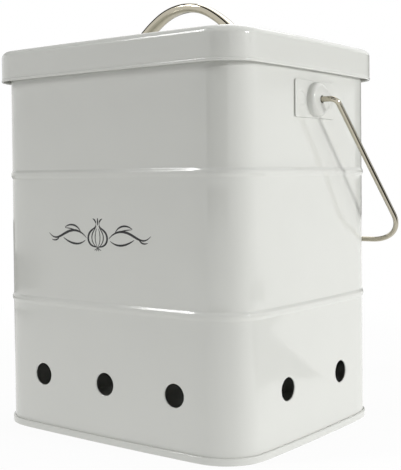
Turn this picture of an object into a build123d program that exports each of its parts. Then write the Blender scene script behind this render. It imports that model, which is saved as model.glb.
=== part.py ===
from build123d import *
import os
from math import acos, ceil, cos, degrees, radians, sin, tan

os.makedirs("parts", exist_ok=True)

# Onion storage canister in painted sheet steel, in millimetres, with +Z up.
# The origin is on the floor under the middle of the base, the front faces -Y, and the bail turns on the
# X sides.

# Plan of the canister: a rounded rectangle, wider than it is deep
body_width = 201.6
body_depth = 171.6
corner_radius = 31.0
sheet = 0.7

# Wall, from its lower edge up to the folded rim that the lid sits on
bead_heights = (85.0, 167.6)
bead_tall = 6.4
bead_proud = 0.9
rim_fold_tall = 4.0
rim_fold_thick = 1.0

# Vent holes near the base: three in front and behind, two on each side
vent_height = 36.9
vent_diameter = 14.1
front_vent_pitch = 54.8
side_vent_pitch = 64.2

# Base panel, let up inside the wall and folded round the wall's lower edge
panel_rise = 3.0
seam_height = 4.4
seam_proud = 1.4
seam_clearance = 0.05

# Lid: a deep pressed cap with tighter corners than the wall's, rounded along its top edge and folded
# outward along its lower one
lid_edge_height = 230.0
lid_top_height = 250.5
lid_overhang = 3.2
lid_corner_radius = 27.0
lid_edge_round = 4.5
lid_outer_flats = 3
lid_inner_flats = 2
lid_hem_tall = 1.9
lid_hem_proud = 0.3
lid_seat_gap = 1.4

# Arched bar on the lid: an oval section along three pairs of tangent arcs and two short upright feet
arch_bar_width = 10.0
arch_bar_thick = 6.3
arch_crown_height = 30.0
arch_crown_radius = 44.0
arch_crown_angle = 30.0
arch_flank_radius = 85.0
arch_flank_angle = 14.0
arch_foot_radius = 12.0
arch_step_angle = 23.5

# Screws that hold the arched bar from under the lid
screw_radius = 2.0
screw_hole_radius = 2.3
screw_clearance = 0.05
screw_depth = 7.0
screw_end_gap = 0.5
screw_head_radius = 3.8
screw_head_height = 2.6

# Ears: spot-welded plates, each with a round boss that holds the bail's headed end and lets it turn
pivot_height = 212.3
ear_length = 47.0
ear_tall = 23.0
ear_thick = 1.0
ear_corner = 1.2
boss_radius = 10.7
boss_height = 4.8
boss_bevel = 1.3
boss_bore_radius = 4.2

# Bail: one bent wire, whose headed ends are held inside the bosses
wire_radius = 1.75
pivot_clearance = 0.08
bail_arm_offset = 116.4
bail_arm_splay = 2.2
bail_reach = 127.4
bail_pivot_bend = 4.5
bail_corner_bend = 24.6
bail_step_angle = 30.0
bail_wall_gap = 0.3
wire_head_radius = 3.4
wire_head_thick = 1.3
wire_head_gap = 0.5

# The middles of the right side and of the back
side_face = body_width / 2
back_face = body_depth / 2


def plan(grow, corner=corner_radius):
    """Draws the plan of the canister, with corners of a given radius, moved outward all round by grow."""
    return RectangleRounded(body_width + 2 * grow, body_depth + 2 * grow, corner + grow)


def slab(grow, bottom, top, corner=corner_radius, mode=Mode.ADD):
    """Extrudes the plan between two heights in the active part."""
    with BuildSketch(Plane.XY.offset(bottom)) as layer:
        plan(grow, corner)
    extrude(layer.sketch, amount=top - bottom, mode=mode)


def plan_path(grow, corner=corner_radius):
    """The plan's outline as a closed path at height 0."""
    with BuildSketch() as layer:
        plan(grow, corner)
    return layer.wire()


def section_plane(path):
    """The plane square to a plan path at its start: local X points outward and local Y up."""
    outward = (path % 0).cross(Vector(0, 0, 1))
    if outward.dot(path @ 0) < 0:
        outward = -outward
    return Plane(origin=path @ 0, x_dir=outward, z_dir=outward.cross(Vector(0, 0, 1)))


def flats(centre, radius, start, end, count):
    """Corners of a number of straight steps along an arc, from a start angle to an end angle in degrees."""
    angles = [radians(start + (end - start) * step / count) for step in range(count + 1)]
    return [(centre[0] + radius * cos(angle), centre[1] + radius * sin(angle)) for angle in angles]


def ring_plane(path, place, normal):
    """The plane square to a flat path at a distance along it; local X is the normal of the path's plane."""
    origin = path.position_at(place, PositionMode.LENGTH)
    return Plane(origin=origin, x_dir=normal, z_dir=path.tangent_at(place, PositionMode.LENGTH))


def rings(path, normal, step_angle):
    """Planes square to a flat path: at the ends of its lines, and at even steps along its arcs."""
    planes = []
    reached = 0
    for edge in path.edges().sort_by(path):
        turn = 0 if edge.geom_type == GeomType.LINE else degrees(edge.length / edge.radius)
        steps = max(1, ceil(turn / step_angle))
        for step in range(steps):
            planes.append(ring_plane(path, reached + edge.length * step / steps, normal))
        reached += edge.length
    planes.append(ring_plane(path, reached, normal))
    return planes


# Body shell: the wall's section, with both beads and the folded rim, swept once round the plan; the rim
# stays low enough to clear the inside of the lid's rounded edge
rim_top = lid_top_height - sheet - lid_seat_gap


def wall_face(x):
    """Corners of one face of the wall, from its lower edge up, stepping out at each bead."""
    points = [(x, sheet)]
    for bead in bead_heights:
        points += [(x, bead - bead_tall / 2), (x + bead_proud, bead), (x, bead + bead_tall / 2)]
    return points


wall_path = plan_path(0)
with BuildPart() as body_shell:
    with BuildSketch(section_plane(wall_path)):
        with BuildLine():
            Polyline(
                *wall_face(0),
                (0, rim_top - rim_fold_tall),
                (rim_fold_thick, rim_top - rim_fold_tall),
                (rim_fold_thick, rim_top),
                (-sheet, rim_top),
                *reversed(wall_face(-sheet)),
                close=True,
            )
        make_face()
    sweep(path=wall_path)
    # Round vent holes, cut through opposite walls at once
    with BuildSketch(Plane.XZ):
        with Locations((0, vent_height)):
            with GridLocations(front_vent_pitch, 1, 3, 1):
                Circle(vent_diameter / 2)
    extrude(amount=body_depth, both=True, mode=Mode.SUBTRACT)
    with BuildSketch(Plane.YZ):
        with Locations((0, vent_height)):
            with GridLocations(side_vent_pitch, 1, 2, 1):
                Circle(vent_diameter / 2)
    extrude(amount=body_width, both=True, mode=Mode.SUBTRACT)

# Base panel: a floor whose edge turns down the wall's inside, under it and up the outside
with BuildPart() as base_panel:
    slab(seam_proud, 0, seam_height)
    slab(seam_clearance, sheet, seam_height, mode=Mode.SUBTRACT)
    slab(-sheet - seam_clearance, sheet, panel_rise + sheet)
    slab(-2 * sheet - seam_clearance, 0, panel_rise, mode=Mode.SUBTRACT)

# The arched bar's feet land where its arcs have turned from level to upright
flank_end = arch_crown_angle + arch_flank_angle
crown_run = arch_crown_radius * sin(radians(arch_crown_angle))
flank_run = arch_flank_radius * (sin(radians(flank_end)) - sin(radians(arch_crown_angle)))
foot_x = crown_run + flank_run + arch_foot_radius * (1 - sin(radians(flank_end)))
crown_z = lid_top_height + arch_crown_height

# Lid: a pressed cap with a softly rounded top edge and a folded hem along its lower edge
lid_underside = lid_top_height - sheet
hem_top = lid_edge_height + lid_hem_tall
edge_centre = (-lid_edge_round, lid_top_height - lid_edge_round)
lid_corner = lid_corner_radius - lid_overhang
side_path = plan_path(lid_overhang, lid_corner)
with BuildPart() as lid_shell:
    with BuildSketch(section_plane(side_path)):
        with BuildLine():
            Polyline(
                (-sheet, lid_edge_height),
                (lid_hem_proud, lid_edge_height),
                (lid_hem_proud, hem_top),
                (0, hem_top),
                *flats(edge_centre, lid_edge_round, 0, 90, lid_outer_flats),
                *flats(edge_centre, lid_edge_round - sheet, 90, 0, lid_inner_flats),
                close=True,
            )
        make_face()
    sweep(path=side_path)
    slab(lid_overhang - lid_edge_round, lid_underside, lid_top_height, lid_corner)
    with BuildSketch(Plane.XY.offset(lid_top_height)):
        with GridLocations(2 * foot_x, 1, 2, 1):
            Circle(screw_hole_radius)
    extrude(amount=-2 * sheet, mode=Mode.SUBTRACT)

# Arched bar: ovals set square to the arch from crown to foot, joined up, mirrored, and drilled up each foot
with BuildPart() as lid_handle:
    with BuildLine(Plane.XZ) as half_arch:
        crown = JernArc((0, crown_z), (1, 0), arch_crown_radius, -arch_crown_angle)
        flank = JernArc(crown @ 1, crown % 1, arch_flank_radius, -arch_flank_angle)
        bend = JernArc(flank @ 1, flank % 1, arch_foot_radius, flank_end - 90)
        Line(bend @ 1, (foot_x, lid_top_height))
    for ring in rings(half_arch.wire(), (0, 1, 0), arch_step_angle):
        with BuildSketch(ring):
            Ellipse(arch_bar_width / 2, arch_bar_thick / 2)
    loft(ruled=True)
    mirror(about=Plane.YZ)
    with BuildSketch(Plane.XY.offset(lid_top_height)):
        with GridLocations(2 * foot_x, 1, 2, 1):
            Circle(screw_radius + screw_clearance)
    extrude(amount=screw_depth, mode=Mode.SUBTRACT)

# Pan-head screws, seated against the underside of the lid and pointing up into the bar's feet
with BuildPart() as handle_screws:
    with BuildSketch(Plane.XY.offset(lid_underside)):
        with GridLocations(2 * foot_x, 1, 2, 1):
            Circle(screw_head_radius)
    extrude(amount=-screw_head_height)
    with BuildSketch(Plane.XY.offset(lid_underside)):
        with GridLocations(2 * foot_x, 1, 2, 1):
            Circle(screw_radius)
    extrude(amount=sheet + screw_depth - screw_end_gap)

# Right ear: a flat plate against the wall and its boss, bored through for the wire and wider for its head
boss_face = side_face + ear_thick + boss_height
head_outside = boss_face - ear_thick - wire_head_gap
with BuildPart() as right_ear:
    with BuildSketch(Plane.YZ.offset(side_face)):
        with Locations((0, pivot_height)):
            RectangleRounded(ear_length, ear_tall, ear_corner)
    extrude(amount=ear_thick)
    with BuildSketch(Plane.YZ.offset(side_face)):
        with Locations((0, pivot_height)):
            Circle(boss_radius)
    extrude(amount=ear_thick + boss_height)
    chamfer(right_ear.faces().sort_by(Axis.X)[-1].edges(), length=boss_bevel)
    with Locations(Plane(origin=(side_face, 0, pivot_height), z_dir=(-1, 0, 0))):
        CounterBoreHole(wire_radius + pivot_clearance, boss_bore_radius, boss_height)

# Left ear: the right one's mirror image
with BuildPart() as left_ear:
    mirror(right_ear.part, about=Plane.YZ)

# Bail: half the wire runs out of its boss, down its arm and across to the middle of the back, then mirrored
bar_y = back_face + bail_wall_gap + wire_radius
bail_tilt = acos(bar_y / bail_reach)
bail_plane = Plane(origin=(0, 0, pivot_height), x_dir=(1, 0, 0), z_dir=(0, sin(bail_tilt), cos(bail_tilt)))
arm_end_x = bail_arm_offset + bail_reach * tan(radians(bail_arm_splay))
with BuildPart() as bail_handle:
    with BuildLine(bail_plane) as half_wire:
        FilletPolyline(
            (head_outside - wire_head_thick, 0),
            (bail_arm_offset, 0),
            (arm_end_x, bail_reach),
            (0, bail_reach),
            radius=[bail_pivot_bend, bail_corner_bend],
        )
    for ring in rings(half_wire.wire(), bail_plane.z_dir, bail_step_angle):
        with BuildSketch(ring):
            Circle(wire_radius)
    loft(ruled=True)
    with BuildSketch(Plane(origin=(head_outside, 0, pivot_height), z_dir=(-1, 0, 0))):
        Circle(wire_head_radius)
    extrude(amount=wire_head_thick)
    mirror(about=Plane.YZ)

pieces = {
    "body_shell": body_shell,
    "base_panel": base_panel,
    "right_ear": right_ear,
    "left_ear": left_ear,
    "lid_shell": lid_shell,
    "lid_handle": lid_handle,
    "handle_screws": handle_screws,
    "bail_handle": bail_handle,
}
for name, piece in pieces.items():
    piece.part.label = name
    export_step(piece.part, f"parts/{name}.step")

print(f"lid handle feet at {foot_x:.2f}, bail hangs {degrees(bail_tilt):.2f} degrees below level")
print(f"boss face at {boss_face:.2f}, bail arm ends at {arm_end_x:.2f}, crossbar at y {bar_y:.2f}")
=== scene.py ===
# %% [markdown]
# # Onion storage canister
# A kitchen canister of painted sheet steel, with vent holes near its base, a lift-off lid with an arched
# bar, and a wire bail that hangs against its back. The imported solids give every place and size. Each one is
# then covered by a finer surface, worked out in millimetres and put into its mesh in metres, so nothing has
# to be fitted afterwards.

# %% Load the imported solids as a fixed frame
import bmesh
import bpy
import numpy as np
from mathutils import Matrix, Vector


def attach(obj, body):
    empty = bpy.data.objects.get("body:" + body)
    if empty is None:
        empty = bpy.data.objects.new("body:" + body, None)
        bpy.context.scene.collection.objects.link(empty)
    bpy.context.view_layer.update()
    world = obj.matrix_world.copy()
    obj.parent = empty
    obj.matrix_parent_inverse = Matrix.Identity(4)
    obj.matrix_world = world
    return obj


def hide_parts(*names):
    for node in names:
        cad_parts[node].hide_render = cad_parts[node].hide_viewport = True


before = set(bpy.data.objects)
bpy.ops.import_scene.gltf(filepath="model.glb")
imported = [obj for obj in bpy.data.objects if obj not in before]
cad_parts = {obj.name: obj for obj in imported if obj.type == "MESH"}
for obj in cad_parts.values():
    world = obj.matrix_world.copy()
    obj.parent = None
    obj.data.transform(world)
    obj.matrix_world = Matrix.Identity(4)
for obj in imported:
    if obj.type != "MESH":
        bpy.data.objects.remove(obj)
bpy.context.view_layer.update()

MM = 0.001


# %% [markdown]
# ## The plan of the canister
# Seen from above, the canister is a rounded rectangle whose four sides swell out a little, as sheet metal
# does when it is rolled round a former. Straight sides would be easier, but they would reflect light as
# flat as a mirror. Here each quarter is five arcs that meet smoothly: a shallow front arc, an easing arc
# where the sheet starts to bend, the tight corner arc, another easing arc, and a shallow side arc. An
# outline made only of arcs turns all the time, so each of its points can be named by the direction that it
# faces, and moving the outline outward is only a matter of adding to the radii.
#
# The lid has a plan of its own. Its corners are tighter than the wall's and hardly eased, because a press
# forms them, and the wall is only rolled.

# %% Work out the arcs of both plans
FRONT_MIDDLE = 85.8
SIDE_MIDDLE = 100.8
FRONT_TURN = np.radians(1.43)
SIDE_TURN = np.radians(1.84)
EASE_RADIUS = 90.0
LID_OVERHANG = 3.2


def plan_arcs(grow, corner_radius, ease_turn):
    """The turns where one arc of a quarter meets the next, the five radii, and the five centres.

    The two shallow radii are what makes the quarter end at the middle of the side, grow outside the wall's.
    """
    turns = np.array([FRONT_TURN, ease_turn, np.pi / 2 - ease_turn, np.pi / 2 - SIDE_TURN])
    outward = np.stack([np.sin(turns), np.cos(turns)], axis=-1)
    front_arc, side_arc = np.linalg.solve(
        [[outward[0, 0], 1 - outward[3, 0]], [outward[0, 1] - 1, -outward[3, 1]]],
        np.array([SIDE_MIDDLE + grow, -FRONT_MIDDLE - grow])
        + EASE_RADIUS * (outward[0] - outward[3])
        + (corner_radius - EASE_RADIUS) * (outward[1] - outward[2]),
    )
    radii = np.array([front_arc, EASE_RADIUS, corner_radius, EASE_RADIUS, side_arc])
    steps = (radii[:-1] - radii[1:])[:, None] * outward
    centres = [0, FRONT_MIDDLE + grow - front_arc] + np.concatenate([[[0, 0]], np.cumsum(steps, axis=0)])
    return turns, radii, centres


EASE_TURN = np.radians(8.0)
WALL_CORNER = 26.25
LID_EASE_TURN = np.radians(2.6)
LID_CORNER = 23.5
WALL_PLAN = plan_arcs(0, WALL_CORNER, EASE_TURN)
LID_PLAN = plan_arcs(LID_OVERHANG, LID_CORNER, LID_EASE_TURN)
FRONT_ARC, SIDE_ARC = WALL_PLAN[1][[0, -1]]
print(f"front arc radius {FRONT_ARC:.0f} mm, side arc radius {SIDE_ARC:.0f} mm")


# %% Find a point of the outline by the direction that it faces
def outline(facing, grow, plan=WALL_PLAN):
    """Points of a plan: an arc's centre plus its radius, made larger by grow, times the outward direction.

    Facing is an angle turned from the front, -Y, towards +X. It is folded into one quarter to find its arc.
    """
    turns, radii, centres = plan
    facing, grow = np.broadcast_arrays(facing, grow)
    across, ahead = np.sin(facing), np.cos(facing)
    arcs = np.digitize(np.arctan2(np.abs(across), np.abs(ahead)), turns)
    radius = radii[arcs] + grow
    x = np.sign(across) * (centres[arcs, 0] + radius * np.abs(across))
    y = -np.sign(ahead) * (centres[arcs, 1] + radius * np.abs(ahead))
    return np.stack([x, y], axis=-1)


corner_point = outline(np.pi / 4, 0)
print(f"the wall's corner reaches {corner_point[0]:.1f} mm across and {-corner_point[1]:.1f} mm ahead")

# %% [markdown]
# ## Columns round the wall
# The grid that covers the wall needs close columns where a vent hole is cut and round the corners, and few
# anywhere else. A vent sits in a square of the grid that is left open and later filled by rings, so the
# columns have to fall exactly on the square's edges.

# %% Set the places of the columns along a side
FRONT_VENTS = [-54.8, 0.0, 54.8]
SIDE_VENTS = [-32.1, 32.1]
SQUARE_HALF = 11.0
SQUARE_STEPS = 12
PLAIN_STEPS = 5


def side_columns(side):
    """Facing angles along one side, from its left corner to its right one, and which steps cross a vent.

    A place s along a shallow arc faces the side's own direction plus the angle whose sine is s over the
    arc's radius.
    """
    vents, radius, turn = [(FRONT_VENTS, FRONT_ARC, FRONT_TURN), (SIDE_VENTS, SIDE_ARC, SIDE_TURN)][side % 2]
    end = radius * np.sin(turn)
    edges = [-end, *[vent + half for vent in vents for half in (-SQUARE_HALF, SQUARE_HALF)], end]
    steps = [SQUARE_STEPS if number % 2 else PLAIN_STEPS for number in range(len(edges) - 1)]
    runs = [np.linspace(low, high, count + 1)[:-1] for low, high, count in zip(edges, edges[1:], steps)]
    crosses = np.repeat([count == SQUARE_STEPS for count in steps], steps)
    return side * np.pi / 2 + np.arcsin(np.concatenate(runs) / radius), crosses


sides = [side_columns(side) for side in range(4)]
print(f"{len(sides[0][0])} columns along the front and {len(sides[1][0])} along a side")

# %% Add the columns round the corners
EASE_STEPS = 6
CORNER_STEPS = 26


def corner_columns(side):
    """Facing angles round the corner that follows a side, in even steps along each of its three arcs."""
    turns = [FRONT_TURN, SIDE_TURN]
    stops = [turns[side % 2], EASE_TURN, np.pi / 2 - EASE_TURN, np.pi / 2 - turns[(side + 1) % 2]]
    steps = [EASE_STEPS, CORNER_STEPS, EASE_STEPS]
    runs = [np.linspace(low, high, count + 1)[:-1] for low, high, count in zip(stops, stops[1:], steps)]
    return side * np.pi / 2 + np.concatenate(runs)


around = np.concatenate([part for side in range(4) for part in (sides[side][0], corner_columns(side))])
no_vent = np.zeros(CORNER_STEPS + 2 * EASE_STEPS, bool)
over_vent = np.concatenate([part for side in range(4) for part in (sides[side][1], no_vent)])
print(len(around), "columns round the wall")

# %% [markdown]
# ## Grids and pieces
# Every piece here is one or more grids of points. A grid may be closed along its rows, its columns or both,
# and a mask can leave faces out. The grids are then sewn where their edges meet, and their faces turned
# outward. Smooth shading with sharp edges only past a set angle gives rolled sheet metal its soft look.

# %% Number the faces of a grid
def grid_faces(rows, columns, round_rows, round_columns, keep, first):
    """Numbers of the four corners of each face between neighbouring rows and columns of a grid."""
    row = np.arange(rows if round_rows else rows - 1)[:, None]
    column = np.arange(columns if round_columns else columns - 1)[None, :]
    next_row, next_column = (row + 1) % rows, (column + 1) % columns
    corners = [row * columns + column, row * columns + next_column]
    corners += [next_row * columns + next_column, next_row * columns + column]
    faces = np.stack(corners, axis=-1)
    return (faces if keep is None else faces[keep]).reshape(-1, 4) + first


print("two rows of two points have the face", grid_faces(2, 2, False, False, None, 0)[0].tolist())

# %% Sew grids into a piece
SEW_DISTANCE = 0.004
SHARP_ANGLE = np.radians(38)


def make_piece(name, grids, body, nodes=(), round_rows=False, round_columns=True):
    """Makes a mesh of (points, keep) grids in millimetres, sews and orients it, and puts it on its body."""
    points, faces, first = [], [], 0
    for grid, keep in grids:
        faces.append(grid_faces(*grid.shape[:2], round_rows and first == 0, round_columns, keep, first))
        points.append(grid.reshape(-1, 3) * MM)
        first += points[-1].shape[0]
    mesh = bpy.data.meshes.new(name)
    mesh.from_pydata(np.concatenate(points).tolist(), [], np.concatenate(faces).tolist())
    sewn = bmesh.new()
    sewn.from_mesh(mesh)
    bmesh.ops.remove_doubles(sewn, verts=sewn.verts, dist=SEW_DISTANCE * MM)
    bmesh.ops.recalc_face_normals(sewn, faces=sewn.faces)
    open_edges = sum(len(edge.link_faces) != 2 for edge in sewn.edges)
    sewn.to_mesh(mesh)
    sewn.free()
    mesh.shade_smooth()
    mesh.set_sharp_from_angle(angle=SHARP_ANGLE)
    piece = bpy.data.objects.new(name, mesh)
    bpy.context.scene.collection.objects.link(piece)
    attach(piece, body)
    if nodes:
        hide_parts(*nodes)
    print(f"{name}: {len(mesh.polygons)} faces, {open_edges} open edges")


print(f"points up to {SEW_DISTANCE} mm apart are sewn into one")

# %% [markdown]
# ## Profiles carried round
# The wall, the base and the lid each keep one section all the way round, so each is a profile carried round
# a plan. A row of a profile says how far outside the plan it lies, and how high. Its third number draws it
# in towards the middle of the canister, and is one everywhere but on a level panel. Rows stand closer
# together near a bend, so that shading stays even up to it.

# %% Carry a profile round a plan
def swept_round(profile, plan=WALL_PLAN):
    """A profile of (grow, height, share) rows carried round a plan: its outline times the row's share."""
    profile = np.array(profile, float)
    flat = outline(around[None, :], profile[:, 0:1], plan) * profile[:, 2, None, None]
    height = np.broadcast_to(profile[:, 1:2], flat.shape[:2])
    return np.concatenate([flat, height[..., None]], axis=-1)


def eased(low, high, steps):
    """Numbers from low to high, closer together near both ends, so that shading stays even up to a bend."""
    return low + (high - low) * (1 - np.cos(np.linspace(0, np.pi, steps + 1))) / 2


def arc(centre_out, centre_up, radius, start, end, steps):
    """Rows of a round bend: the bend's centre plus its radius along angles from start to end, in degrees."""
    turn = np.radians(np.linspace(start, end, steps + 1))
    out, up = centre_out + radius * np.cos(turn), centre_up + radius * np.sin(turn)
    return np.stack([out, up, np.ones_like(turn)], axis=-1)


def straight(start, end, steps):
    """Rows of a straight run between two (grow, height) points."""
    out, up = eased(start[0], end[0], steps), eased(start[1], end[1], steps)
    return np.stack([out, up, np.ones_like(out)], axis=-1)


sample = swept_round(straight((0, 0), (0, 1), 1))
print(f"a one millimetre band round the wall is {sample.shape[0]} rows of {sample.shape[1]} points")

# %% [markdown]
# ## The wall
# The real wall is one sheet wrapped round and rolled with two beads, which stiffen it. Its top edge is
# folded outward for strength. A plain swell such as a cosine would give a bead soft shading, but a rolled
# bead has two even slopes and a narrow flat crest, and each slope catches a line of light of its own. So
# each side of a bead is a ramp that has an almost even slope and eases off at both ends. The wall's section
# is a closed loop, up the outside, over the folded rim and down the inside.

# %% Roll the beads
BEAD_HEIGHTS = (85.0, 167.6)
BEAD_TALL = 5.9
BEAD_SLOPE = 2.3
BEAD_PROUD = 0.9


def even_ramp(share):
    """A ramp from 0 to 1 whose slope is 1.25 times one minus the fourth power of the way from its middle."""
    away = 2 * np.clip(share, 0, 1) - 1
    return 1.25 * ((away + 1) / 2 - (away**5 + 1) / 10)


def bead_swell(height):
    """How far the wall swells at a height: the bead's full swell times a ramp from each of its two edges."""
    swell = np.zeros_like(height)
    for bead in BEAD_HEIGHTS:
        swell = swell + BEAD_PROUD * even_ramp((BEAD_TALL / 2 - np.abs(height - bead)) / BEAD_SLOPE)
    return swell


print(f"the wall swells {bead_swell(np.array(BEAD_HEIGHTS)).max():.2f} mm at a bead")

# %% Give the wall its section
SHEET = 0.7
VENT_HEIGHT = 36.9
BEAD_STEPS = 24
RIM_TOP = 248.4
FOLD_BOTTOM = 244.4
FOLD_PROUD = 1.0
FOLD_ROUND = 0.45
square_low, square_high = VENT_HEIGHT - SQUARE_HALF, VENT_HEIGHT + SQUARE_HALF
bead_edges = [(bead - BEAD_TALL / 2, bead + BEAD_TALL / 2) for bead in BEAD_HEIGHTS]
stops = [SHEET, square_low, square_high, *bead_edges[0], *bead_edges[1], FOLD_BOTTOM - 0.3]
counts = [5, SQUARE_STEPS, 6, BEAD_STEPS, 10, BEAD_STEPS, 10]
wall_heights = np.concatenate(
    [np.linspace(low, high, count + 1)[:-1] for low, high, count in zip(stops, stops[1:], counts)]
    + [[stops[-1]]]
)
outside = np.stack([bead_swell(wall_heights), wall_heights, np.ones_like(wall_heights)], axis=-1)
inside = (outside - [SHEET, 0, 0])[::-1]
fold_bend = FOLD_BOTTOM + 0.15
rim_round = (FOLD_PROUD + SHEET) / 2
fold = np.concatenate([
    arc(FOLD_ROUND, fold_bend, FOLD_ROUND, 200, 270, 4),
    arc(FOLD_PROUD - FOLD_ROUND, fold_bend, FOLD_ROUND, 290, 360, 4),
    straight((FOLD_PROUD, FOLD_BOTTOM + 0.5), (FOLD_PROUD, RIM_TOP - rim_round), 4),
    arc((FOLD_PROUD - SHEET) / 2, RIM_TOP - rim_round, rim_round, 0, 180, 12),
])
wall_profile = np.concatenate([outside, fold, inside])
print(len(wall_profile), "rows in the wall's section")

# %% [markdown]
# ## Vent holes
# The vents are punched, which rolls their edges in a little. A boolean cut would leave long thin faces
# round each hole, and they shade badly on glossy paint. Instead, each hole is a set of rings. The first
# lies on the open square of the grid, the next ones turn round, the hole's edge rolls inward, and the last
# ones go back to the square on the wall's inside.

# %% Fill an open square with rings
VENT_RADIUS = 7.05
EDGE_ROLL = 0.7
RING_MARGIN = 0.6
LIP_WIDER, LIP_DEEPER = 0.1, 0.08


def square_loop(steps):
    """Points round a square from -1 to 1, with the same number of even steps along each side."""
    ramp = np.linspace(-1, 1, steps + 1)[:-1]
    one = np.ones_like(ramp)
    return np.concatenate([
        np.stack(pair, axis=-1) for pair in ((ramp, -one), (one, ramp), (-ramp, one), (-one, -ramp))
    ])


def on_wall(facing, out, height):
    """Points a distance outside the wall's plan and at a height, by the direction that each one faces."""
    return np.concatenate([outline(facing, out), height[..., None]], axis=-1)


def vent_rings(side, place):
    """Rings of one vent: a square that turns round by shares, a quarter roll, and back on the inside."""
    square = square_loop(SQUARE_STEPS) * SQUARE_HALF
    circle = square / np.linalg.norm(square, axis=1, keepdims=True)
    roll = np.radians(np.linspace(0, 90, 8))
    flat_share = np.array([0, 0.3, 0.6, 0.85, 1])
    margin = VENT_RADIUS + EDGE_ROLL + RING_MARGIN
    rings = [(square * (1 - share) + circle * margin * share, 0.0) for share in flat_share]
    rings += [
        (circle * (VENT_RADIUS + EDGE_ROLL * (1 - np.sin(turn))), -EDGE_ROLL * (1 - np.cos(turn)))
        for turn in roll
    ]
    rings += [(circle * (VENT_RADIUS + LIP_WIDER), -SHEET - LIP_DEEPER)]
    rings += [(square * (1 - share) + circle * margin * share, -SHEET) for share in flat_share[::-1]]
    flat = np.stack([ring for ring, depth in rings])
    depth = np.array([depth for ring, depth in rings])[:, None]
    radius = [FRONT_ARC, SIDE_ARC][side % 2]
    facing = side * np.pi / 2 + np.arcsin((place + flat[..., 0]) / radius)
    return on_wall(facing, depth, VENT_HEIGHT + flat[..., 1])


print(len(vent_rings(0, FRONT_VENTS[0])), "rings in a vent")

# %% Put the wall together
middle_height = (wall_profile[:, 1] + np.roll(wall_profile[:, 1], -1)) / 2
beside_vent = np.abs(middle_height - VENT_HEIGHT) < SQUARE_HALF
wall_grid = (swept_round(wall_profile), ~(beside_vent[:, None] & over_vent[None, :]))
vent_grids = [
    (vent_rings(side, place), None) for side in range(4) for place in (FRONT_VENTS, SIDE_VENTS)[side % 2]
]
make_piece(
    "body_wall", [wall_grid, *vent_grids], "canister", ["body_shell"], round_rows=True
)

# %% [markdown]
# ## The base
# The base panel is let up into the wall, and its edge is folded down, under the wall and up its outside.
# The folded seam is what the canister stands on. Its rounded upper edge is what catches a bright line all
# the way round, so that bend gets its own rows.

# %% Fold the base round the wall's lower edge
SEAM_PROUD = 1.4
SEAM_TOP = 4.4
PANEL_TOP = 3.7
SEAM_GAP = 0.05
PANEL_INSET, PANEL_ROUND = 2.2, 0.7
LIP_ROUND, SEAM_ROUND, FOOT_ROUND = 0.25, 0.75, 0.6
HEEL_ROUND, RISE_ROUND = 0.55, 0.65
panel_shares = np.linspace(0, 1, 7)


def level_rows(grow, height, shares):
    """Rows of a level panel: the outline at one height, drawn in towards the middle by each share."""
    return np.stack([np.full_like(shares, grow), np.full_like(shares, height), shares], axis=-1)


groove = SHEET - 0.02
base_profile = np.concatenate([
    level_rows(-PANEL_INSET, PANEL_TOP, panel_shares),
    arc(-SHEET - SEAM_GAP - PANEL_ROUND, PANEL_TOP - PANEL_ROUND, PANEL_ROUND, 90, 0, 4),
    straight((-SHEET - SEAM_GAP, PANEL_TOP - 0.9), (-SHEET - SEAM_GAP, groove), 3),
    straight((SEAM_GAP, groove), (SEAM_GAP, SEAM_TOP - LIP_ROUND), 4),
    arc(SEAM_GAP + LIP_ROUND, SEAM_TOP - LIP_ROUND, LIP_ROUND, 180, 90, 3),
    arc(SEAM_PROUD - SEAM_ROUND, SEAM_TOP - SEAM_ROUND, SEAM_ROUND, 90, 0, 7),
    straight((SEAM_PROUD, SEAM_TOP - 0.9), (SEAM_PROUD, 0.75), 5),
    arc(SEAM_PROUD - FOOT_ROUND, FOOT_ROUND, FOOT_ROUND, 0, -90, 6),
    arc(-0.9, HEEL_ROUND, HEEL_ROUND, 270, 180, 5),
    arc(-2.1, 2.35, RISE_ROUND, 0, 90, 5),
    level_rows(-PANEL_INSET, PANEL_TOP - SHEET, panel_shares[::-1]),
])
make_piece(
    "base_with_seam", [(swept_round(base_profile), None)], "canister", ["base_panel"]
)

# %% [markdown]
# ## The lid
# The lid is a pressed cap. Pressing leaves its top very slightly crowned and its upper edge rounded, and
# its lower edge is rolled into a hem, which keeps a cut edge away from the fingers. The section runs from
# the middle of the top, over the rounded edge, down the side, round the hem and back up inside.

# %% Press the lid
LID_TOP = 250.5
LID_EDGE = 230.0
EDGE_RADIUS = 4.5
CROWN = 0.45
HEM_TALL = 2.25
lid_shares = np.sqrt(np.linspace(0, 1, 12))
edge_height = LID_TOP - EDGE_RADIUS


def crowned_rows(top, shares):
    """Rows of the lid's top, which rises inward by the crown times (1 - share squared) squared."""
    height = top + CROWN * (1 - shares**2) ** 2
    return np.stack([np.full_like(shares, -EDGE_RADIUS), height, shares], axis=-1)


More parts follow.
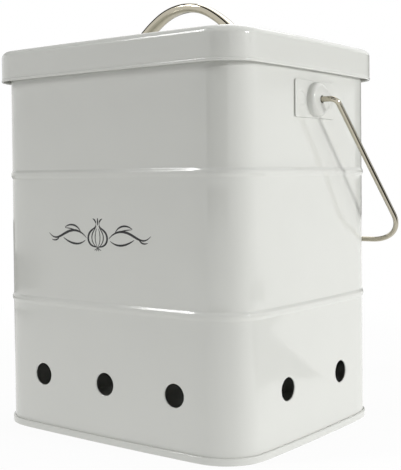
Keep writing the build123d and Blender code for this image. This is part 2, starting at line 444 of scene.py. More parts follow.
# How far out and how far up each row of the hem lies, from the lid's outside round its foot to the inside.
hem = [(0.0, HEM_TALL), (-0.04, 2.05), (-0.03, 1.92), (0.08, 1.82), (0.22, 1.6), (0.29, 1.25)]
hem += [(0.3, 0.9), (0.26, 0.5), (0.12, 0.2), (-0.15, 0.03), (-0.5, 0.0), (-0.85, 0.08)]
hem += [(-1.15, 0.35), (-1.27, 0.8), (-1.24, 1.3), (-1.05, 1.75), (-0.8, 2.1)]
lid_profile = np.concatenate([
    crowned_rows(LID_TOP, lid_shares),
    arc(-EDGE_RADIUS, edge_height, EDGE_RADIUS, 90, 0, 12)[1:],
    straight((0, edge_height), (0, LID_EDGE + HEM_TALL), 8)[1:-1],
    np.array([(out, LID_EDGE + up, 1) for out, up in hem]),
    straight((-SHEET, LID_EDGE + HEM_TALL + 0.15), (-SHEET, edge_height), 5),
    arc(-EDGE_RADIUS, edge_height, EDGE_RADIUS - SHEET, 0, 90, 8)[1:],
    crowned_rows(LID_TOP - SHEET, lid_shares[::-1])[1:],
])
make_piece("lid_cap", [(swept_round(lid_profile, LID_PLAN), None)], "lid", ["lid_shell"])

# %% [markdown]
# ## The arched bar
# The bar on the lid is a polished rod, bent to a low arch with two short upright feet. Its middle line is
# made of arcs that meet smoothly, so again each place can be named by a direction. Ovals set square to that
# line make the surface. A true oval would turn evenly and blur what it reflects. The real bar was rolled
# between flats, so its sides are flatter and its edges tighter, and each reflection ends in a crisp line.
# Many small steps matter more here than anywhere, because polished metal shows every facet.

# %% Bend the arched bar
ARCH_RADII = (44.0, 85.0, 12.0)
ARCH_TURNS = np.radians([30.0, 44.0])
ARCH_TOP = LID_TOP + 30.0


def arch_line(turn):
    """Points of the arch's middle line (across, height), by the angle it has turned from its crown.

    Each arc's centre is the last one's, moved back along their shared direction by the change of radius.
    """
    joints = np.stack([np.sin(ARCH_TURNS), np.cos(ARCH_TURNS)], axis=-1)
    crown = np.array([0, ARCH_TOP - ARCH_RADII[0]])
    flank = crown - (ARCH_RADII[1] - ARCH_RADII[0]) * joints[0]
    foot = flank - (ARCH_RADII[2] - ARCH_RADII[1]) * joints[1]
    arcs = np.digitize(np.abs(turn), ARCH_TURNS)
    centre = np.stack([crown, flank, foot])[arcs]
    radius = np.array(ARCH_RADII)[arcs]
    return np.stack([
        np.sign(turn) * (centre[:, 0] + radius * np.sin(np.abs(turn))),
        centre[:, 1] + radius * np.cos(turn),
    ], axis=-1)


# In degrees from the crown: the long arcs as far as the last bend, and then round that bend.
half_turns = np.radians(np.concatenate([np.linspace(0, 44, 34), np.linspace(46, 90, 23)]))
arch_turns = np.concatenate([-half_turns[:0:-1], half_turns])
arch = arch_line(arch_turns)
FOOT_X, foot_height = arch[-1]
print(f"feet at {FOOT_X:.2f} mm, arch {arch[:, 1].max() - LID_TOP:.1f} mm high")

# %% Stand it on its feet and give it its oval
BAR_HALF_WIDTH = 5.0
BAR_HALF_THICK = 3.149
OVAL_STEPS = 72
OVAL_FULLNESS = 2.8
FOOT_DROPS = np.array([0.5, 1.2, 1.9, 2.3, 2.85, 3.0, 3.0])
FOOT_SHARES = np.array([1.0, 1.0, 1.0, 1.0, 1.0, 0.95, 0.0])


def oval_rings(line, turns, share):
    """Rings square to the arch: its line, plus the oval's thickness along its normal and its width along Y.

    Cosine and sine are each raised to a power below one, which makes the oval's sides flatter and fuller.
    """
    sweep = np.linspace(0, 2 * np.pi, OVAL_STEPS, endpoint=False)
    power = 2 / OVAL_FULLNESS
    across, along = [np.sign(part) * np.abs(part) ** power for part in (np.sin(sweep), np.cos(sweep))]
    thick = BAR_HALF_THICK * along * share[:, None]
    x = line[:, 0:1] + thick * np.sin(turns)[:, None]
    y = BAR_HALF_WIDTH * across * share[:, None]
    z = line[:, 1:2] + thick * np.cos(turns)[:, None]
    return np.stack([x, y, z], axis=-1)


right_foot = np.column_stack([np.full(len(FOOT_DROPS), FOOT_X), foot_height - FOOT_DROPS])
bar_line = np.concatenate([right_foot[::-1] * [-1, 1], arch, right_foot])
bar_turns = np.pad(arch_turns, len(FOOT_DROPS), mode="edge")
bar_shares = np.concatenate([FOOT_SHARES[::-1], np.ones(len(arch)), FOOT_SHARES])
bar_grid = oval_rings(bar_line, bar_turns, bar_shares)
make_piece("arched_bar", [(bar_grid, None)], "lid", ["lid_handle"])

# %% [markdown]
# ## The wire bail
# The bail is one length of round wire. Its two ends are headed like nails, to stay in their bosses, and it
# has four bends. A curve object with a round bevel could stand for it, but a path of straight runs and arcs
# gives the bends their exact radius, and the heads are only rings of another radius on the same path.

# %% Bend the wire
PIVOT_HEIGHT = 212.3
WIRE_RADIUS = 1.75
ARM_OFFSET = 116.37
ARM_SPLAY = np.radians(2.2)
BAIL_REACH = 127.4
WALL_GAP = 0.3
PIVOT_BEND = 4.5
CORNER_BEND = 24.6
tilt = np.arccos((FRONT_MIDDLE + WALL_GAP + WIRE_RADIUS) / BAIL_REACH)
arm_end = ARM_OFFSET + BAIL_REACH * np.tan(ARM_SPLAY)


def bend_rows(start, heading, radius, turn, steps):
    """Points and headings round a bend: the centre lies to the left of the heading, a radius away."""
    headings = heading + np.linspace(0, turn, steps + 1)
    centre = start + radius * np.array([-np.sin(heading), np.cos(heading)])
    return centre + radius * np.stack([np.sin(headings), -np.cos(headings)], axis=-1), headings


first_turn = np.pi / 2 - ARM_SPLAY
second_turn = np.pi / 2 + ARM_SPLAY
first_start = np.array([ARM_OFFSET - PIVOT_BEND * np.tan(first_turn / 2), 0])
second_tangent = CORNER_BEND * np.tan(second_turn / 2)
arm_direction = np.array([np.sin(ARM_SPLAY), np.cos(ARM_SPLAY)])
second_start = np.array([arm_end, BAIL_REACH]) - second_tangent * arm_direction
first_points, first_headings = bend_rows(first_start, 0, PIVOT_BEND, first_turn, 14)
second_points, second_headings = bend_rows(second_start, first_turn, CORNER_BEND, second_turn, 30)
print(f"the bail hangs {np.degrees(tilt):.1f} degrees below level, and its arms end {arm_end:.1f} mm out")

# %% Head its ends and join the runs
HEAD_INSIDE, HEAD_OUTSIDE = 103.8, 105.1
HEAD_RADIUS = 3.4
INNER_BEVEL, OUTER_BEVEL, NECK_ROUND = 0.35, 0.3, 0.2
# How far out and how thick the wire is at each row of its end, from the head's inner face to the plain wire.
stub_x, stub_radius = np.array([
    (HEAD_INSIDE, 0),
    (HEAD_INSIDE, HEAD_RADIUS - INNER_BEVEL),
    (HEAD_INSIDE + INNER_BEVEL, HEAD_RADIUS),
    (HEAD_OUTSIDE - OUTER_BEVEL, HEAD_RADIUS),
    (HEAD_OUTSIDE, HEAD_RADIUS - OUTER_BEVEL),
    (HEAD_OUTSIDE, WIRE_RADIUS + NECK_ROUND),
    (HEAD_OUTSIDE + NECK_ROUND, WIRE_RADIUS),
]).T
arm_share = eased(0, 1, 14)[1:-1, None]
arm_points = first_points[-1] * (1 - arm_share) + second_points[0] * arm_share
cross_x = eased(second_points[-1, 0], 0, 14)[1:]
half_points = np.concatenate([
    np.stack([stub_x, np.zeros_like(stub_x)], axis=-1),
    first_points,
    arm_points,
    second_points,
    np.stack([cross_x, np.full_like(cross_x, BAIL_REACH)], axis=-1),
])
half_headings = np.concatenate([
    np.zeros_like(stub_x), first_headings, np.full(len(arm_points), first_turn), second_headings,
    np.full(len(cross_x), np.pi),
])
half_radius = np.concatenate([stub_radius, np.full(len(half_points) - len(stub_radius), WIRE_RADIUS)])
print(len(half_points), "rings from a head to the middle of the crossbar")


# %% Put rings square to the wire
def wire_rings(points, headings, radius, steps):
    """Rings round the wire: its path plus the radius along its own normal and the bail plane's normal."""
    sweep = np.linspace(0, 2 * np.pi, steps, endpoint=False)
    side = radius[:, None] * np.cos(sweep)
    off_plane = radius[:, None] * np.sin(sweep)
    x = points[:, 0:1] - side * np.sin(headings)[:, None]
    reach = points[:, 1:2] + side * np.cos(headings)[:, None]
    y = reach * np.cos(tilt) + off_plane * np.sin(tilt)
    z = PIVOT_HEIGHT - reach * np.sin(tilt) + off_plane * np.cos(tilt)
    return np.stack([x, y, z], axis=-1)


wire_points = np.concatenate([half_points, half_points[-2::-1] * [-1, 1]])
wire_headings = np.concatenate([half_headings, 2 * np.pi - half_headings[-2::-1]])
wire_radii = np.concatenate([half_radius, half_radius[-2::-1]])
wire_grid = wire_rings(wire_points, wire_headings, wire_radii, 28)
make_piece("wire_bail", [(wire_grid, None)], "bail", ["bail_handle"])

# %% [markdown]
# ## The ears
# Each ear is a small plate, spot-welded to the side, with a round boss pressed out of it for the wire's
# head. It is one surface of rings: out of the pivot hole, over the boss, out to the plate's edge, and back
# behind it into the boss. The plate's outline is a rounded rectangle, so the rings change shape from round
# to square on the way. Two shallow round marks show where the welder's tips pressed it. Between its welds a
# plate never lies quite flat, so its edge stands a little off the wall here and shows as a thin dark line.

# %% Draw the plate's outline
EAR_LENGTH, EAR_TALL, EAR_CORNER = 47.0, 23.0, 1.2
EAR_STEPS = (48, 24)


def plate_loop():
    """Points round a rounded rectangle: each corner's centre plus its radius round a quarter turn."""
    corner_turns = np.radians(np.linspace(0, 90, 6))
    half = np.array([EAR_LENGTH / 2, EAR_TALL / 2]) - EAR_CORNER
    bends, loop = [], []
    for number, signs in enumerate([(1, 1), (-1, 1), (-1, -1), (1, -1)]):
        turn = corner_turns + number * np.pi / 2
        bends.append(half * signs + EAR_CORNER * np.stack([np.cos(turn), np.sin(turn)], axis=-1))
    for number, bend in enumerate(bends):
        share = np.linspace(0, 1, EAR_STEPS[number % 2] + 1)[1:-1, None]
        loop += [bend, bend[-1] * (1 - share) + bends[(number + 1) % 4][0] * share]
    return np.concatenate(loop)


print(len(plate_loop()), "points round the plate")

# %% Raise the boss
EAR_THICK = 1.0
BOSS_RADIUS, BOSS_HEIGHT, BOSS_ROUND, BOSS_FLAT, BOSS_FOOT = 11.0, 4.8, 2.9, 5.0, 0.35
HOLE_RADIUS, HOLE_ROUND = 2.25, 0.3


def boss_rings():
    """(radius, height) rows of the boss, from the pivot hole, over its rounded shoulder, to the plate."""
    top = EAR_THICK + BOSS_HEIGHT
    shoulder = np.radians(np.linspace(90, 0, 12))
    rise = BOSS_RADIUS - BOSS_FOOT
    chamfer = 0.3 * HOLE_ROUND
    rows = [(HOLE_RADIUS, top - EAR_THICK), (HOLE_RADIUS, top - HOLE_ROUND)]
    rows += [(HOLE_RADIUS + chamfer, top - chamfer), (HOLE_RADIUS + HOLE_ROUND, top)]
    rows += [(HOLE_RADIUS + 2 * HOLE_ROUND, top), (BOSS_FLAT, top)]
    rows += [
        (rise - BOSS_ROUND + BOSS_ROUND * np.cos(turn), top - BOSS_ROUND + BOSS_ROUND * np.sin(turn))
        for turn in shoulder
    ]
    foot = np.radians(np.linspace(180, 270, 4))
    rows += [
        (BOSS_RADIUS + BOSS_FOOT * np.cos(turn), EAR_THICK + BOSS_FOOT + BOSS_FOOT * np.sin(turn))
        for turn in foot
    ]
    return np.array(rows)


print(len(boss_rings()), "rings on the boss")

# %% Cover the whole ear with rings
PLATE_RINGS = 24
EDGE_BEVEL, EDGE_GAP = 0.12, 0.4
BORE_RADIUS = 4.2
WELD_PLACE, WELD_RADIUS, WELD_EDGE, WELD_DEPTH = 16.6, 4.9, 0.9, 0.4


def raised(flat, height):
    """Flat points and their height, which is one for all or one for each."""
    return np.column_stack([flat, np.broadcast_to(height, len(flat))])


def ear_rings():
    """The ear as (along, up, out) points: over the boss and the plate, and back behind them into the bore.

    Each ring of the plate is a share of the way from the boss's circle to the plate's outline. A weld mark is
    a dimple whose depth falls off by the square of a sine across its edge.
    """
    loop = plate_loop()
    circle = loop / np.linalg.norm(loop, axis=1, keepdims=True)
    rings = [raised(circle * radius, height) for radius, height in boss_rings()]
    for share in np.linspace(0, 1, PLATE_RINGS)[1:]:
        flat = circle * BOSS_RADIUS * (1 - share) + (loop - EDGE_BEVEL * np.sign(loop)) * share
        away = np.hypot(np.abs(flat[:, 0]) - WELD_PLACE, flat[:, 1])
        dimple = WELD_DEPTH * np.sin(np.pi / 2 * np.clip((WELD_RADIUS - away) / WELD_EDGE, 0, 1)) ** 2
        rings.append(raised(flat, EAR_THICK - dimple))
    edge = [(0, EAR_THICK - EDGE_BEVEL), (0, EDGE_GAP), (1.0, EDGE_GAP), (1.2, 0)]
    rings += [raised(loop - inward * np.sign(loop), height) for inward, height in edge]
    bore = [(BOSS_RADIUS, 0.0), (BORE_RADIUS, 0.0), (BORE_RADIUS, BOSS_HEIGHT), (HOLE_RADIUS, BOSS_HEIGHT)]
    rings += [raised(circle * radius, height) for radius, height in bore]
    return np.stack(rings)


flat_ear = ear_rings()
print(len(flat_ear), "rings on an ear")


# %% Press the ears on the sides
def on_side(rings, side):
    """Lays flat (along, up, out) points on a side wall: its plan at their facing angle, grown by out.

    Side is 1 for the right and -1 for the left.
    """
    facing = side * (np.pi / 2 + np.arcsin(rings[..., 0] / SIDE_ARC))
    return on_wall(facing, rings[..., 2], PIVOT_HEIGHT + rings[..., 1])


for side, name in ((1, "right_ear"), (-1, "left_ear")):
    make_piece(name + "_plate", [(on_side(flat_ear, side), None)], "canister", [name])

# %% [markdown]
# ## The screws
# Two screws come up through the lid into the bar's feet. Only their heads can be seen, from under the lid:
# low rounded heads with a cross recess. A head is a height over a disc, so the recess is made by lowering
# that height wherever a point falls in either arm of the cross.

# %% Turn the screws
SCREW_RADIUS, SCREW_TIP = 2.0, 1.6
SCREW_TOP = LID_TOP + 6.5
SCREW_HEAD_RADIUS, SCREW_HEAD_HEIGHT, SCREW_HEAD_RIM = 3.8, 2.6, 1.2
SCREW_SEAT = LID_TOP - SHEET
RECESS_LENGTH, RECESS_WIDTH, RECESS_DEPTH = 2.0, 0.45, 1.4


def screw_rings(centre_x):
    """Rings of a screw: down from its tip to the head, then in over the head to its middle, facing down.

    The head's height falls off by the root of one minus the fourth power of the share of its radius.
    """
    sweep = np.linspace(0, 2 * np.pi, 96, endpoint=False)
    head = np.linspace(1, 0, 34)
    radius = np.concatenate([[0, SCREW_TIP, SCREW_RADIUS, SCREW_RADIUS, 3.6, 3.78], SCREW_HEAD_RADIUS * head])
    dome = SCREW_SEAT - SCREW_HEAD_RIM - (SCREW_HEAD_HEIGHT - SCREW_HEAD_RIM) * (1 - head**4) ** 0.5
    height = np.concatenate([
        [SCREW_TOP, SCREW_TOP, SCREW_TOP - 0.5, SCREW_SEAT, SCREW_SEAT, SCREW_SEAT - 0.2], dome
    ])
    across = radius[:, None] * np.cos(sweep)
    along = radius[:, None] * np.sin(sweep)
    narrow = np.minimum(np.abs(across), np.abs(along))
    wide = np.maximum(np.abs(across), np.abs(along))
    inside = np.clip((RECESS_WIDTH - narrow) / 0.12 + 0.5, 0, 1)
    inside = inside * np.clip((RECESS_LENGTH - wide) / 0.3 + 0.5, 0, 1)
    on_head = np.arange(len(radius))[:, None] > 6
    lift = RECESS_DEPTH * inside * (1 - 0.4 * wide / RECESS_LENGTH) * on_head
    return np.stack([centre_x + across, along, height[:, None] + lift], axis=-1)


screw_grids = [(screw_rings(place), None) for place in (-FOOT_X, FOOT_X)]
make_piece("screw_pair", screw_grids, "lid", ["handle_screws"])

# %% [markdown]
# ## The printed mark
# The front carries a small print in black, a plain drawing of an onion between leaves. Real ink is about a
# twentieth of a millimetre thick, so each stroke is a thin ribbon, just proud of the paint. A stroke is a
# smooth curve through a few points, wide in its middle and fine at its ends, as a pen leaves it.

# %% Draw a smooth curve through a few points
def smooth_path(points, steps):
    """A curve through a few points: each coordinate is the one polynomial that passes through all of them."""
    points = np.array(points, float)
    gaps = np.hypot(*np.diff(points, axis=0).T)
    known = np.concatenate([[0], np.cumsum(gaps)]) / gaps.sum()
    wanted = np.linspace(0, 1, steps + 1)
    powers = np.vander(known, len(known))
    return np.vander(wanted, len(known)) @ np.linalg.solve(powers, points)


print("halfway along a bow", smooth_path([(0, 0), (5, 3), (10, 0)], 2)[1].round(2).tolist())

# %% Give a stroke its width
PRINT_X, PRINT_Z = -4.3, 129.0
INK_THICK, INK_ROOT = 0.06, -0.03
INK_SPREAD = 1.5
STROKE_STEPS = 48


def closed_ends(rows):
    """The rows with one more at each end, whose points all lie at the middle of the end row."""
    first, last = [
        end.mean(axis=1, keepdims=True).repeat(rows.shape[1], axis=1) for end in (rows[:1], rows[-1:])
    ]
    return np.concatenate([first, rows, last])


def ribbon(points, widest, finest=0.16):
    """A closed thin bar along a curve, whose width swells from finest to widest by a power of a sine."""
    path = smooth_path(points, STROKE_STEPS)
    along = np.gradient(path, axis=0)
    normal = np.stack([-along[:, 1], along[:, 0]], axis=-1) / np.linalg.norm(along, axis=1, keepdims=True)
    swell = np.sin(np.linspace(0, np.pi, STROKE_STEPS + 1)) ** 0.8
    half = INK_SPREAD * (finest + (widest - finest) * swell) / 2
    left, right = path + normal * half[:, None], path - normal * half[:, None]
    flat = np.stack([left, left, right, right], axis=1)
    depth = np.broadcast_to([INK_ROOT, INK_THICK, INK_THICK, INK_ROOT], flat.shape[:2])
    flat, depth = closed_ends(flat), closed_ends(depth)
    facing = np.arcsin((PRINT_X + flat[..., 0]) / FRONT_ARC)
    return on_wall(facing, depth, PRINT_Z + flat[..., 1])


print(f"a stroke stands {INK_THICK} mm proud of the paint")


# %% Draw the onion and its leaves
def both_sides(strokes):
    """The strokes and their mirror images."""
    return strokes + [([(-x, z) for x, z in points], widest) for points, widest in strokes]


bulb = both_sides([
    ([(0, -7.2), (-5.4, -5.9), (-8.0, -1.9), (-6.4, 2.2), (-3.0, 4.6), (-1.3, 7.6)], 0.95),
    ([(-0.9, -6.9), (-4.3, -3.6), (-4.7, 0.2), (-2.9, 3.4), (-1.0, 6.2)], 0.5),
    ([(-0.4, -6.7), (-1.9, -3.0), (-1.9, 0.8), (-0.8, 4.4)], 0.42),
    ([(-1.3, 7.4), (-2.0, 9.2), (-4.0, 10.6)], 0.7),
    ([(-0.5, -7.3), (-1.4, -8.4), (-2.9, -9.0)], 0.3),
    ([(-0.2, -7.4), (-0.5, -8.6), (-1.1, -9.6)], 0.3),
])
leaves = both_sides([
    ([(-9.6, -1.6), (-17.0, 2.6), (-26.0, 1.9), (-34.0, -1.4), (-43.0, 0.8)], 1.05),
    ([(-10.6, -3.0), (-17.0, -5.4), (-24.5, -4.4), (-30.0, -1.8)], 0.85),
    ([(-14.6, 1.9), (-18.6, 5.6), (-24.4, 6.3), (-28.6, 4.6)], 0.75),
    ([(-14.8, 1.6), (-20.6, 3.4), (-28.4, 4.4)], 0.45),
    ([(-33.4, -1.2), (-36.8, -3.6), (-40.6, -3.3)], 0.6),
])
stem = [([(0, 6.4), (0.15, 8.6), (0, 11.0)], 0.7)]
print_grids = [(ribbon(points, widest), None) for points, widest in bulb + leaves + stem]
make_piece("printed_mark", print_grids, "canister")

# %% [markdown]
# ## Colour and finish
# Colours are picked as sRGB values, the way a paint chart gives them, and turned to the linear values that
# the shader wants. One small function adds a node with its settings and links.

# %% Turn a colour into linear light
def linear(code):
    """An sRGB hex colour as linear red, green, blue and an alpha of one."""
    channels = np.array([int(code[start:start + 2], 16) for start in (1, 3, 5)]) / 255
    low, high = channels / 12.92, ((channels + 0.055) / 1.055) ** 2.4
    return (*np.where(channels <= 0.04045, low, high).tolist(), 1.0)


print("mid grey in linear light", [round(channel, 3) for channel in linear("#808080")[:3]])


# %% Add nodes to a new material
def add_node(tree, kind, settings=None, **inputs):
    """Adds a node, sets its properties, and sets or links its inputs.

    An input goes by its name, with underscores for spaces, or by its number after one underscore.
    """
    node = tree.nodes.new(kind)
    for key, value in (settings or {}).items():
        setattr(node, key, value)
    for key, value in inputs.items():
        socket = node.inputs[int(key[1:]) if key[1:].isdigit() else key.replace("_", " ")]
        if isinstance(value, bpy.types.NodeSocket):
            tree.links.new(value, socket)
        else:
            socket.default_value = value
    return node


def new_material(name):
    """A material, its emptied node tree, and the place on the object that its patterns go by."""
    material = bpy.data.materials.new(name)
    material.use_nodes = True
    tree = material.node_tree
    tree.nodes.clear()
    return material, tree, add_node(tree, "ShaderNodeTexCoord").outputs["Object"]


def show(tree, surface):
    """Links a surface to a new output node."""
    tree.links.new(surface, tree.nodes.new("ShaderNodeOutputMaterial").inputs["Surface"])


print("materials so far", len(bpy.data.materials))

# %% Shade by a pattern
NOISE_SPREAD = (0.3, 0.7)


def shade_by(tree, pattern, tones, rough, spread=(0.0, 1.0), **more):
    """A surface whose colour and roughness each go from a first to a second value by a pattern.

    The colour goes by the pattern itself, and the roughness by how far it is through its usual spread.
    """
    tone = add_node(
        tree, "ShaderNodeMix", {"data_type": "RGBA"}, _0=pattern, _6=linear(tones[0]), _7=linear(tones[1])
    ).outputs[2]
    gloss = add_node(
        tree, "ShaderNodeMapRange", Value=pattern, From_Min=spread[0], From_Max=spread[1],
        To_Min=rough[0], To_Max=rough[1],
    ).outputs["Result"]
    shader = add_node(tree, "ShaderNodeBsdfPrincipled", Base_Color=tone, Roughness=gloss, **more)
    show(tree, shader.outputs["BSDF"])


print("noise mostly stays between", NOISE_SPREAD[0], "and", NOISE_SPREAD[1])

# %% [markdown]
# ## Gloss paint
# The canister is spray-painted and baked. Baked gloss paint is smooth to the touch but never quite flat: it
# dries with a fine waviness, called orange peel, a millimetre or two across, which softens reflections. Its
# colour and gloss drift a little over a few centimetres. Its index of refraction is 1.5, that of most
# paints.

# %% Mix the gloss paint
PEEL_SIZE = 1.6
DRIFT_SIZE = 45.0
paint, tree, place = new_material("baked_gloss_paint")
drift = add_node(
    tree, "ShaderNodeTexNoise", Vector=place, Scale=1 / (DRIFT_SIZE * MM), Detail=2.0, Roughness=0.5
).outputs["Fac"]
peel = add_node(
    tree, "ShaderNodeTexNoise", Vector=place, Scale=1 / (PEEL_SIZE * MM), Detail=1.5
).outputs["Fac"]
wave = add_node(tree, "ShaderNodeBump", Height=peel, Strength=0.06, Distance=0.05 * MM).outputs["Normal"]
shade_by(tree, drift, ("#DDDED9", "#E1E2DD"), (0.08, 0.12), NOISE_SPREAD, Normal=wave, IOR=1.5)
print(f"{paint.name}: waves {PEEL_SIZE} mm across, drift {DRIFT_SIZE} mm across")

# %% [markdown]
# ## Polished nickel
# The wire and the bar are steel, polished and nickel plated, which is a little warmer than chrome. Drawing
# and polishing leave faint lines and a slight unevenness, so highlights are not quite as sharp as in a
# mirror. A metal has no diffuse colour: what it shows is what is round it, tinted by its own colour.

# %% Plate the wire and the bar
LINE_SIZE = 0.5
CLOUD_SIZE = 12.0
nickel, tree, place = new_material("polished_nickel")
cloud = add_node(
    tree, "ShaderNodeTexNoise", Vector=place, Scale=1 / (CLOUD_SIZE * MM), Detail=3.0
).outputs["Fac"]
lines = add_node(
    tree, "ShaderNodeTexNoise", Vector=place, Scale=1 / (LINE_SIZE * MM), Detail=2.0
).outputs["Fac"]
wave = add_node(tree, "ShaderNodeBump", Height=lines, Strength=0.04, Distance=0.02 * MM).outputs["Normal"]
shade_by(tree, cloud, ("#B4AE9D", "#BFB9A9"), (0.03, 0.07), NOISE_SPREAD, Normal=wave, Metallic=1.0)
print(f"{nickel.name}: lines {LINE_SIZE} mm apart, clouds {CLOUD_SIZE} mm across")

# %% [markdown]
# ## Zinc plate
# The screws are bright zinc, a bluish grey metal that scatters light more than nickel does, with a fine
# crystal mottle a few tenths of a millimetre across.

# %% Plate the screws
MOTTLE_SIZE = 0.4
zinc, tree, place = new_material("bright_zinc_plate")
mottle = add_node(
    tree, "ShaderNodeTexVoronoi", Vector=place, Scale=1 / (MOTTLE_SIZE * MM)
).outputs["Distance"]
shade_by(tree, mottle, ("#C3C6C9", "#A9ADB1"), (0.3, 0.42), Metallic=1.0)
print(f"{zinc.name}: crystals {MOTTLE_SIZE} mm across")

# %% [markdown]
# ## Printing ink
# The print is a pad-printed enamel ink: nearly black, a little less glossy than the paint under it, and
# very slightly uneven where the pad let go.

# %% Mix the ink
COVER_SIZE = 0.8
ink, tree, place = new_material("printed_enamel_ink")
cover = add_node(
    tree, "ShaderNodeTexNoise", Vector=place, Scale=1 / (COVER_SIZE * MM), Detail=2.0
).outputs["Fac"]
shade_by(tree, cover, ("#161617", "#262628"), (0.38, 0.5), IOR=1.5)
print(f"{ink.name}: patches {COVER_SIZE} mm across")

# %% [markdown]
# ## A finish for every piece
# Each piece is made of one stuff all over, so its mesh has one slot. Pieces of the same stuff share one
# material, and a change to it shows on all of them.

# %% Give every piece its finish
finishes = {
    paint: ["body_wall", "base_with_seam", "lid_cap", "right_ear_plate", "left_ear_plate"],
    nickel: ["arched_bar", "wire_bail"],
    zinc: ["screw_pair"],
    ink: ["printed_mark"],
}
for material, names in finishes.items():
    for name in names:
        slots = bpy.data.objects[name].data.materials
        slots.clear()
        slots.append(material)
        print(name, "in", material.name)

# %% [markdown]
# ## Floor and surroundings
# The canister stands on a plain white floor in a white room. The camera, and anything glossy, sees white.
# The light that falls on the canister from all round is dimmer than that, so that its own tones show. The
# floor is partly lit and partly its own white, which keeps a light shadow under the canister. Close by, its
# own white also lights the lower part of the wall, as a lit floor does. Further off it doesn't, or the
# whole canister would be lit from below.

# %% Lay the floor
FLOOR_HALF = 3000.0
floor_corners = [(-1, -1), (1, -1), (1, 1), (-1, 1)]
floor_mesh = bpy.data.meshes.new("floor")
floor_points = [(x * FLOOR_HALF * MM, y * FLOOR_HALF * MM, 0) for x, y in floor_corners]
floor_mesh.from_pydata(floor_points, [], [(0, 1, 2, 3)])
floor = bpy.data.objects.new("floor", floor_mesh)
bpy.context.scene.collection.objects.link(floor)
print(f"a floor {2 * FLOOR_HALF * MM:.0f} m wide")

# %% Paint the floor
OWN_WHITE, WHITE_FROM, WHITE_BY = 0.93, 200.0, 600.0
GLOW_LEVEL, GLOW_FROM, GLOW_BY = 0.65, 450.0, 200.0


def seen_by_eye(tree):
    """One for camera, glossy and transmission rays, and nought for the rays that only carry light."""
    rays = add_node(tree, "ShaderNodeLightPath").outputs
    larger = {"operation": "MAXIMUM"}
    eye = add_node(
        tree, "ShaderNodeMath", larger, _0=rays["Is Camera Ray"], _1=rays["Is Glossy Ray"]
    ).outputs[0]
    return add_node(tree, "ShaderNodeMath", larger, _0=eye, _1=rays["Is Transmission Ray"]).outputs[0]


floor_paint, tree, place = new_material("white_floor")
lit = add_node(tree, "ShaderNodeBsdfDiffuse", Color=linear("#F4F4F2")).outputs["BSDF"]
white = add_node(tree, "ShaderNodeEmission", Color=(1, 1, 1, 1), Strength=1.0).outputs["Emission"]
away = add_node(tree, "ShaderNodeVectorMath", {"operation": "LENGTH"}, _0=place).outputs["Value"]
soft_step = {"interpolation_type": "SMOOTHSTEP"}
own = add_node(
    tree, "ShaderNodeMapRange", soft_step, Value=away, From_Min=WHITE_FROM * MM, From_Max=WHITE_BY * MM,
    To_Min=OWN_WHITE, To_Max=1.0,
).outputs["Result"]
near = add_node(
    tree, "ShaderNodeMapRange", soft_step, Value=away, From_Min=GLOW_FROM * MM, From_Max=GLOW_BY * MM,
    To_Max=GLOW_LEVEL,
).outputs["Result"]
used = add_node(tree, "ShaderNodeMath", {"operation": "MAXIMUM"}, _0=seen_by_eye(tree), _1=near).outputs[0]
share = add_node(tree, "ShaderNodeMath", {"operation": "MULTIPLY"}, _0=used, _1=own).outputs[0]
show(tree, add_node(tree, "ShaderNodeMixShader", _0=share, _1=lit, _2=white).outputs["Shader"])
floor_mesh.materials.append(floor_paint)
print(f"the floor lights the wall from up to {GLOW_FROM:.0f} mm from the middle")

# %% Light the room
ROOM_LEVEL = 0.15
world = bpy.data.worlds.new("white_room")
bpy.context.scene.world = world
world.use_nodes = True
tree = world.node_tree
tree.nodes.clear()
level = add_node(
    tree, "ShaderNodeMapRange", Value=seen_by_eye(tree), To_Min=ROOM_LEVEL, To_Max=1.0
).outputs["Result"]
sky = add_node(tree, "ShaderNodeBackground", Color=(1, 1, 1, 1), Strength=level).outputs["Background"]
tree.links.new(sky, tree.nodes.new("ShaderNodeOutputWorld").inputs["Surface"])
print(f"a white room that lights the canister at {ROOM_LEVEL} of what the camera sees")

# %% [markdown]
# ## Lamps
# Most of the light comes from the right, and the front gets little of it, which is why it looks greyer. A
# wide soft lamp there gives the corner its slow change of tone, and a small oblong one beside it gives the
# wire its shadow and the lid's corner its bright spot. Both stand low, so that the lid throws hardly any
# shadow on the wall. A wide dim one faces the corner. A tall narrow one stands high on the left, and every
# bead and the lid's edge catch it as a long bright line. One behind keeps the back from looking dull, and a
# small one overhead brightens the lid's top. The two wide ones on the right and the one overhead show in no
# reflection, because glossy paint would draw them.

# %% Set the lamps
LAMP_AIM = Vector((0, 0, 0.13))


def soft_lamp(name, azimuth, elevation, distance, wide, tall, level, spread=180, mirrored=True):
    """An oblong area lamp aimed at the canister, by its direction in degrees and its distance in metres.

    Azimuth turns from the front towards +X. The power gives a surface that faces the lamp the stated level.
    A lamp that isn't mirrored shows in no reflection.
    """
    across, up = np.radians(azimuth), np.radians(elevation)
    outward = Vector((np.sin(across) * np.cos(up), -np.cos(across) * np.cos(up), np.sin(up)))
    data = bpy.data.lights.new(name, "AREA")
    data.shape, data.size, data.size_y = "RECTANGLE", wide, tall
    data.energy, data.spread = level * (np.pi * distance) ** 2, np.radians(spread)
    lamp = bpy.data.objects.new(name, data)
    bpy.context.scene.collection.objects.link(lamp)
    lamp.location = LAMP_AIM + outward * distance
    lamp.rotation_euler = outward.to_track_quat("Z", "Y").to_euler()
    lamp.visible_glossy = mirrored
    print(f"{name}: {wide} by {tall} m, {data.energy:.1f} W")


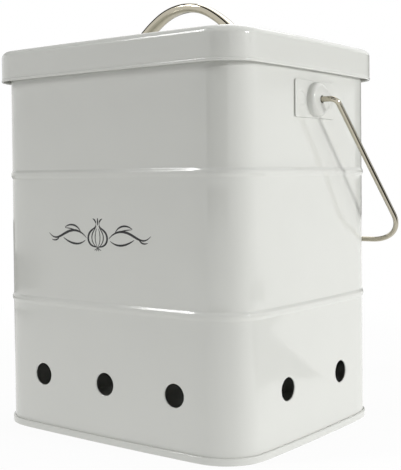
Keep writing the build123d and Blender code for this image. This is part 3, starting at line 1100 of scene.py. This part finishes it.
soft_lamp("wide_right_lamp", 118, 10, 2.2, 1.4, 1.4, 0.33, mirrored=False)
soft_lamp("small_right_lamp", 95, 15.7, 2.2, 0.36, 0.12, 0.28)
soft_lamp("corner_lamp", 60, 8, 2.2, 1.2, 1.2, 0.05, mirrored=False)
soft_lamp("left_lamp", -40.5, 38.9, 3.0, 0.47, 1.22, 0.3)
soft_lamp("back_lamp", 198, 50, 2.2, 1.1, 1.1, 0.2)
soft_lamp("top_lamp", 0, 90, 1.2, 0.5, 0.5, 0.04, spread=50, mirrored=False)

# %% [markdown]
# ## Cards
# In an all-white room polished metal looks like plain grey plastic. A studio stands dark cards round the
# set, out of the picture, and their reflections draw the crisp dark lines that make metal read as metal. A
# pale grey card takes the glare off the paint at one side in the same way. These cards are flat or curved
# strips that only glossy rays meet.

# %% Set out the cards
CARD_STEPS = 24


def card_strip(name, azimuths, first, last, tone):
    """A strip between two azimuths, and from one (distance, height) in metres to another."""
    across = np.radians(np.linspace(*azimuths, CARD_STEPS))
    ring = np.stack([np.sin(across), -np.cos(across)], axis=-1)
    points = np.concatenate([raised(distance * ring, height) for distance, height in (first, last)])
    mesh = bpy.data.meshes.new(name)
    mesh.from_pydata(points.tolist(), [], grid_faces(2, CARD_STEPS, False, False, None, 0).tolist())
    card = bpy.data.objects.new(name, mesh)
    bpy.context.scene.collection.objects.link(card)
    board, tree, _ = new_material(name + "_board")
    show(tree, add_node(tree, "ShaderNodeBsdfDiffuse", Color=linear(tone)).outputs["BSDF"])
    mesh.materials.append(board)
    card.visible_camera = card.visible_diffuse = False
    card.visible_shadow = card.visible_transmission = False
    print(f"{name}: {azimuths[0]} to {azimuths[1]} degrees, {tone}")


card_strip("front_card", (-8, 46), (3.2, 0.0), (3.2, 1.6), "#303030")
card_strip("right_card", (158, 216), (3.2, 0.0), (3.2, 0.9), "#101010")
card_strip("left_card", (238, 304), (3.2, 1.3), (3.2, 4.9), "#060606")
card_strip("top_card", (-90, 90), (0.0, 3.0), (2.6, 3.0), "#060606")
card_strip("side_card", (130, 158), (3.2, 0.5), (3.2, 1.5), "#E8E8E8")
card_strip("floor_card", (96, 130), (0.24, 0.002), (1.0, 0.002), "#101010")
card_strip("back_floor_card", (205, 262), (0.3, 0.002), (3.1, 0.002), "#B8B8B8")
card_strip("left_floor_card", (264, 312), (0.62, 0.002), (1.6, 0.002), "#202020")

# %% [markdown]
# ## Camera
# The camera stands a little above the middle of the canister and looks almost level, so that its upright
# edges stay upright. Its place was found from the known sizes of the canister. A picture that is cut from a
# larger one has its optical axis off its middle, and the camera's shift stands for that.

# %% Set the camera
IMAGE_TALL = 470
FOCAL_PIXELS = 951.8487
AXIS_ROW = 197.972
CAMERA_PLACE = Vector((403.992, -516.354, 165.232))
camera_data = bpy.data.cameras.new("camera")
camera_data.sensor_width = 36.0
camera_data.lens = FOCAL_PIXELS * camera_data.sensor_width / IMAGE_TALL
camera_data.shift_y = (AXIS_ROW - IMAGE_TALL / 2) / IMAGE_TALL
camera_data.clip_start, camera_data.clip_end = 0.01, 50.0
camera = bpy.data.objects.new("camera", camera_data)
bpy.context.scene.collection.objects.link(camera)
camera_right = Vector((0.79578718, 0.60549828, -0.00972581))
camera_up = Vector((-0.00598454, 0.0239229, 0.99969589))
camera_forward = Vector((-0.60554682, 0.79548697, -0.02266116))
turned = Matrix((camera_right, camera_up, -camera_forward)).transposed().to_4x4()
camera.matrix_world = Matrix.Translation(CAMERA_PLACE * MM) @ turned
bpy.context.scene.camera = camera
bpy.context.scene.view_settings.view_transform = "Standard"
print(f"a {camera_data.lens:.1f} mm lens, {CAMERA_PLACE.length:.0f} mm from the canister's foot")
